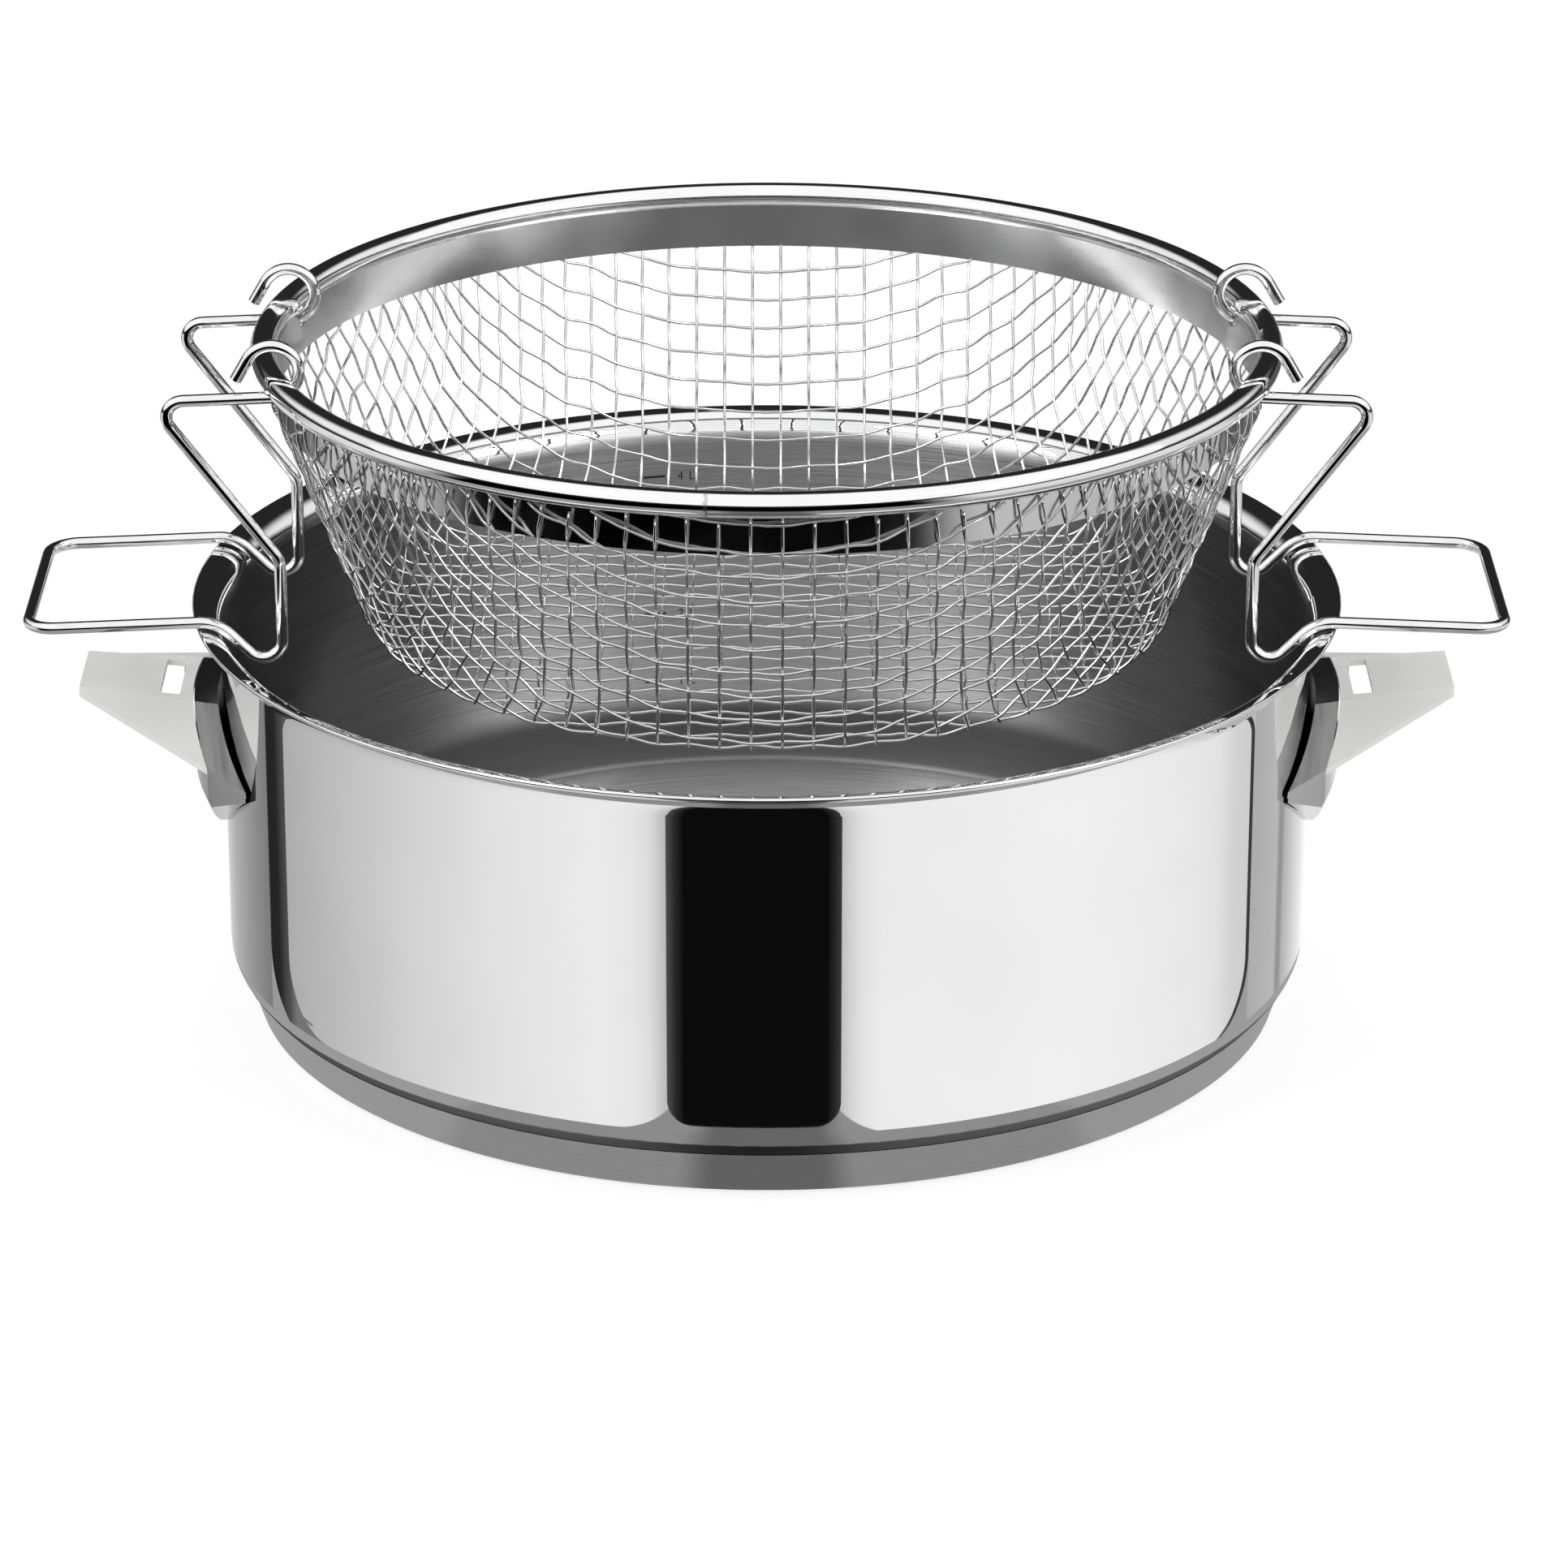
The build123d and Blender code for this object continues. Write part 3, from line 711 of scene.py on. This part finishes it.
# Floor: white glow for the camera, and the table and room for reflections
FLOOR_HALF = 4.0
FLOOR_DROP = 0.2 * MM
FLOOR_TONE = 1.09
GLOW_SHARE = (0.4, 1.2, 0.75, 1.0)  # from these radii on, all of it glows
TABLE_RADII = (0.34, 0.45)  # in front and behind
TABLE_REAR = (0.0, 0.12)
TABLE_EDGE = 0.03
TABLE_NEAR = (0.10, 0.18, 0.15, 0.30)  # tones by the share that is sideways
TABLE_ASIDE = (0.57, 0.63, 0.0, 0.07)
TABLE_LIFT = 0.38
ROOM_RIGHT = (0.5, 0.8, 0.0, 0.8)  # radians from the front, and tones
ROOM_LEFT = (-1.1, -1.4, 0.0, 0.8)
ROOM_REAR = (2.25, 1.85, 0.12, 1.0)

# Cards stand on a skirt of this radius round the pan, and fold onto the floor
SKIRT = 0.16
FAR_SKIRT = 10.0  # so far that these cards lie on the floor
CARD_COLUMNS = 72
CARD_ROWS_BELOW = 3
CARD_ROWS_ABOVE = 8


def make_world():
    """White for the camera; in metal white over the top and beside, dark behind."""
    world = bpy.data.worlds.new("studio")
    bpy.context.scene.world = world
    world.use_nodes = True
    graph = Graph(world.node_tree)
    path = graph.node("ShaderNodeLightPath").outputs
    direction = graph.node("ShaderNodeTexCoord").outputs["Generated"]
    x, y, z = graph.node("ShaderNodeSeparateXYZ", {"Vector": direction}).outputs
    climb = graph.math("ARCTAN2", z, graph.math("MULTIPLY", y, -1))
    over = graph.math("MULTIPLY", graph.band(climb, *OVER_FRONT), graph.band(climb, *OVER_REAR))
    above = graph.math("MULTIPLY", over, graph.band(z, *OVER_HORIZON))
    aside = graph.band(graph.math("ABSOLUTE", x), *BESIDE)
    beside = graph.math("MULTIPLY", aside, graph.band(z, *BESIDE_HORIZON))
    shade = graph.band(graph.math("MAXIMUM", above, beside), 0, 1, *WORLD_TONES)
    soft = graph.glow("ShaderNodeBackground", SOFT_LEVEL)
    seen_in_metal = graph.glow("ShaderNodeBackground", shade)
    white = graph.glow("ShaderNodeBackground", 1.0)
    others = graph.blend(path["Is Glossy Ray"], soft, seen_in_metal)
    shown = graph.blend(path["Is Camera Ray"], others, white)
    graph.node("ShaderNodeOutputWorld", {"Surface": shown})


def make_floor():
    """Pale floor, clear from below; in metal a grey table in a room, white at its sides."""
    material, graph = new_material("pale_floor")
    path = graph.node("ShaderNodeLightPath").outputs
    _, x, y, _, radius = place(graph)
    pale = graph.node("ShaderNodeBsdfDiffuse", {"Color": (0.9, 0.9, 0.9, 1)}).outputs[0]
    share = graph.math("MULTIPLY", path["Is Camera Ray"], graph.band(radius, *GLOW_SHARE))
    both = graph.blend(share, pale, graph.glow("ShaderNodeEmission", FLOOR_TONE))
    rear = graph.band(y, *TABLE_REAR)
    edge = graph.band(rear, 0, 1, *TABLE_RADII)
    table = graph.band(graph.math("SUBTRACT", radius, edge), TABLE_EDGE, -TABLE_EDGE)
    turned = graph.math("DIVIDE", graph.math("ABSOLUTE", x), radius)
    near = graph.math("ADD", graph.band(turned, *TABLE_NEAR), graph.band(turned, *TABLE_ASIDE))
    lift = graph.math("MULTIPLY", rear, TABLE_LIFT)
    on_table = graph.math("MULTIPLY", table, graph.math("ADD", near, lift))
    bearing = graph.math("ARCTAN2", x, graph.math("MULTIPLY", y, -1))
    room = graph.math("ADD", graph.band(bearing, *ROOM_RIGHT), graph.band(bearing, *ROOM_LEFT))
    side = graph.band(graph.math("ABSOLUTE", bearing), *ROOM_REAR)
    outside = graph.math("SUBTRACT", 1.0, table)
    beyond = graph.math("MULTIPLY", outside, graph.math("MULTIPLY", room, side))
    tone = graph.glow("ShaderNodeEmission", graph.math("ADD", on_table, beyond))
    shown = graph.blend(path["Is Glossy Ray"], both, tone)
    below = graph.node("ShaderNodeNewGeometry").outputs["Backfacing"]
    clear = graph.node("ShaderNodeBsdfTransparent").outputs[0]
    graph.node("ShaderNodeOutputMaterial", {"Surface": graph.blend(below, shown, clear)})
    half = FLOOR_HALF
    corners = [(-half, -half, 0), (half, -half, 0), (half, half, 0), (-half, half, 0)]
    floor = new_object("floor", corners, [(0, 1, 2, 3)], material, smooth=False)
    floor.location.z = -FLOOR_DROP


def seen_in_wall(angle, height, skirt, lift):
    """The place that the pan's wall mirrors, on a skirt round it or on the floor."""
    turn = math.radians(angle)
    normal = Vector((math.sin(turn), -math.cos(turn), 0))
    wall = pan_outer_radius
    spot = normal * wall + Vector((0, 0, height * MM))
    sight = (spot - Vector((0, -CAMERA_DISTANCE, CAMERA_HEIGHT))).normalized()
    way = sight - 2 * sight.dot(normal) * normal
    flat = way.x**2 + way.y**2
    outward = spot.x * way.x + spot.y * way.y
    to_skirt = (math.sqrt(outward**2 + flat * (skirt**2 - wall**2)) - outward) / flat
    to_floor = (lift * MM - spot.z) / way.z
    fold = lift - way.z * to_skirt / MM
    return spot + way * max(min(to_skirt, to_floor), 0), fold


def make_card(name, angles, heights, corners, skirt, lift, stops):
    """A card that fills a rounded rectangle of the wall's reflection.

    Angles are degrees round the wall, heights and corner radii millimetres on
    it, and stops give the card's tone by its share from left to right.
    """
    material, graph = new_material(name)
    across = graph.node("ShaderNodeAttribute", attribute_name="across").outputs["Fac"]
    tone = graph.ramp(across, [(place_at, grey(level)) for place_at, level in stops])
    glow = graph.node("ShaderNodeEmission", {"Color": tone, "Strength": 1.0})
    graph.node("ShaderNodeOutputMaterial", {"Surface": glow.outputs[0]})
    reach = math.radians(1) * pan_outer_radius / MM
    rows = CARD_ROWS_BELOW + CARD_ROWS_ABOVE
    points, shares, faces = [], [], []
    for column in range(CARD_COLUMNS + 1):
        share = (1 - math.cos(math.pi * column / CARD_COLUMNS)) / 2
        angle = angles[0] + (angles[1] - angles[0]) * share
        inset = max(min(angle - angles[0], angles[1] - angle), 0) * reach
        cuts = [corner - math.sqrt(corner**2 - max(corner - inset, 0) ** 2) for corner in corners]
        low, high = heights[0] + cuts[0], heights[1] - cuts[1]
        fold = min(max(seen_in_wall(angle, low, skirt, lift)[1], low), high)
        lower = np.linspace(low, fold, CARD_ROWS_BELOW, endpoint=False)
        upper = np.linspace(fold, high, CARD_ROWS_ABOVE + 1)
        for height in [*lower, *upper]:
            points.append(seen_in_wall(angle, height, skirt, lift)[0])
            shares.append(share)
    for column in range(CARD_COLUMNS):
        for row in range(rows):
            a = column * (rows + 1) + row
            faces.append((a, a + 1, a + rows + 2, a + rows + 1))
    card = new_object(name, points, faces, material)
    card.data.attributes.new("across", "FLOAT", "POINT").data.foreach_set("value", shares)
    card.visible_camera = False
    card.visible_diffuse = False
    card.visible_transmission = False
    card.visible_shadow = False


def make_cards():
    behind, front = SKIRT + MM, SKIRT - MM
    make_card("left_side", (-86.0, -63.3), (14.0, 100.0), (1.0, 1.0), FAR_SKIRT, 0.1,
              [(0.0, 0.85), (0.2, 0.66), (0.45, 0.48), (0.7, 0.36), (1.0, 0.23)])
    make_card("left_frame", (-63.3, -40.0), (14.5, 110.0), (20.0, 4.0), behind, 0.2,
              [(0.0, 0.06), (0.015, 0.02), (0.097, 0.022), (0.146, 0.06), (0.19, 0.09),
               (0.25, 0.2), (1.0, 0.27)])
    make_card("left_card", (-58.9, -7.9), (17.5, 96.0), (17.0, 5.5), SKIRT, 0.3,
              [(0.0, 0.48), (0.09, 0.53), (0.20, 0.59), (0.30, 0.66), (0.39, 0.73), (0.586, 0.86),
               (0.763, 0.94), (0.83, 0.965), (0.894, 0.92), (0.927, 0.84), (0.946, 0.68), (0.958, 0.58)])
    make_card("black_card", (-9.95, 7.4), (19.2, 98.0), (6.0, 2.0), front, 0.4,
              [(0.0, 0.084), (0.05, 0.025), (0.10, 0.004), (0.92, 0.004), (0.96, 0.02), (1.0, 0.05)])
    make_card("right_card", (5.4, 59.1), (16.8, 95.6), (18.0, 5.5), SKIRT, 0.3,
              [(0.0, 0.6), (0.037, 0.6), (0.054, 0.73), (0.0745, 0.865), (0.112, 0.95), (0.309, 0.97),
               (0.434, 1.0), (0.525, 1.0), (0.648, 0.975), (0.786, 0.94), (0.83, 0.92), (0.885, 0.875),
               (0.942, 0.74), (1.0, 0.70)])
    make_card("right_frame", (46.0, 59.9), (16.5, 96.2), (18.4, 6.2), behind, 0.2,
              [(0.0, 0.5), (0.5, 0.2), (0.8, 0.03), (1.0, 0.05)])
    make_card("right_side", (59.9, 86.0), (14.0, 100.0), (1.0, 1.0), FAR_SKIRT, 0.1,
              [(0.0, 0.47), (0.26, 0.54), (0.29, 0.34), (0.33, 0.34), (0.36, 0.50),
               (0.55, 0.75), (0.8, 1.0)])


def make_lamp(name, place_at, aim, size, power, mirrored=True):
    data = bpy.data.lights.new(name, "AREA")
    data.shape = "RECTANGLE"
    data.size, data.size_y = size
    data.energy = power
    lamp = bpy.data.objects.new(name, data)
    lamp.location = place_at
    lamp.rotation_euler = (Vector(aim) - Vector(place_at)).to_track_quat("-Z", "Y").to_euler()
    lamp.visible_glossy = mirrored
    bpy.context.scene.collection.objects.link(lamp)


def make_lamps():
    make_lamp("key_lamp", (-1.1, -0.7, 1.5), (0, 0, 0.08), (0.9, 0.9), 16)
    make_lamp("fill_lamp", (1.2, -0.6, 1.3), (0, 0, 0.08), (0.9, 0.9), 12)
    make_lamp("back_lamp", (0, 1.3, 1.2), (0, 0, 0.1), (1.6, 0.6), 9, mirrored=False)


def dress(material, *names):
    for name in names:
        slots = nodes[name].data.materials
        slots.clear()
        slots.append(material)


make_camera()
make_world()
make_floor()
make_cards()
make_lamps()

dress(pan_steel(), "pan_body")
dress(base_steel(), "base_cap")
dress(bright_steel("base_aluminium", 0.68, 0.74, 0.25, 0.35, 40), "base_core")
dress(bright_steel("mount_steel", 0.46, 0.54, 0.12, 0.20, 60), "left_mount", "right_mount")
dress(white_plastic(), "left_grip", "right_grip")
dress(bright_steel("lug_steel", 0.40, 0.50, 0.22, 0.32, 90), "left_lug", "right_lug")
dress(
    bright_steel("screw_steel", 0.52, 0.62, 0.16, 0.24, 200),
    "left_grip_screws",
    "right_grip_screws",
    "left_grip_washers",
    "right_grip_washers",
)
dress(bright_steel("ring_steel", 0.86, 0.90, 0.03, 0.07, 50), "rim_ring")
dress(bright_steel("band_steel", 0.58, 0.66, 0.12, 0.20, 45), "rim_band")
dress(drawn_wire("handle_wire", 0.80, 0.86, 0.04, 0.08), "left_wire_handle", "right_wire_handle")
make_cloth(drawn_wire("cloth_wire", 0.72, 0.80, 0.08, 0.15))
make_marks(etched_mark())
make_seam(bright_steel("seam_steel", 0.55, 0.65, 0.15, 0.25, 300))
